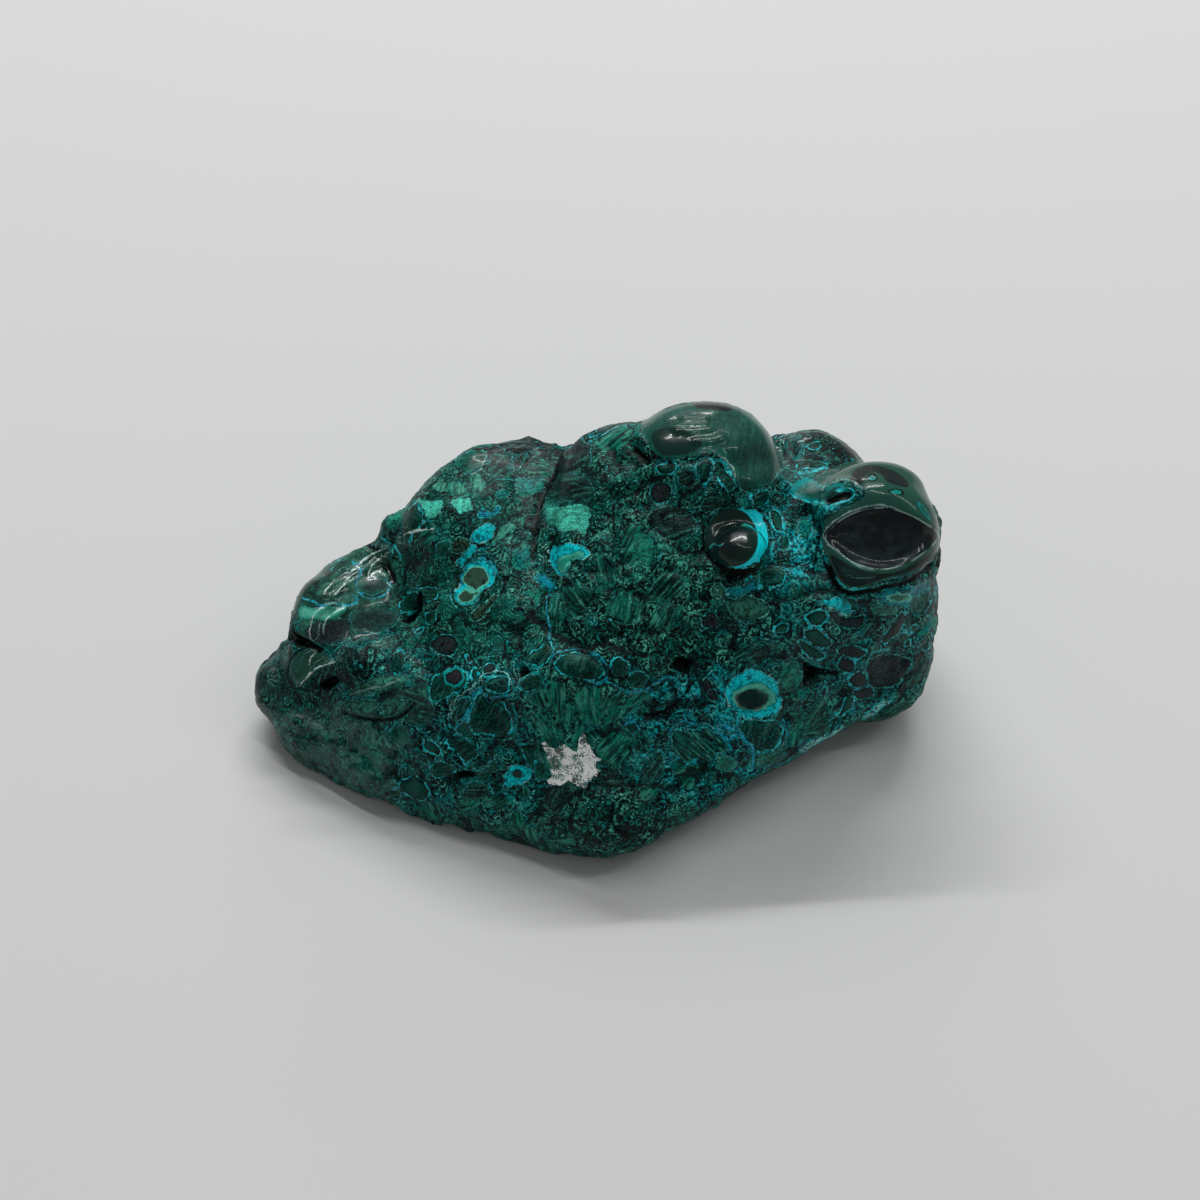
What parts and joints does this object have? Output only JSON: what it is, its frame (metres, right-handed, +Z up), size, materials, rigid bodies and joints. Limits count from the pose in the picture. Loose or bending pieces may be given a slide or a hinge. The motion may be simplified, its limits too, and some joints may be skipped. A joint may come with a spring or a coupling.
{
  "type": "chrysocolla specimen",
  "caption": "Polished free-form stone of intergrown green and blue copper minerals, with rounded bulges, that rests on a flat ground underside.",
  "frame": {"origin": "middle of the stone's box, on the flat ground underside that it rests on", "axes": "+X along the stone's length towards the polished eye, +Y to the back of the stone, +Z up"},
  "size_m": [0.117, 0.077, 0.053],
  "materials": {
    "stone": "polished banded malachite and chrysocolla with dark ore, matt in its creases"
  },
  "bodies": {
    "root": {"specimen": "stone"}
  },
  "joints": []
}
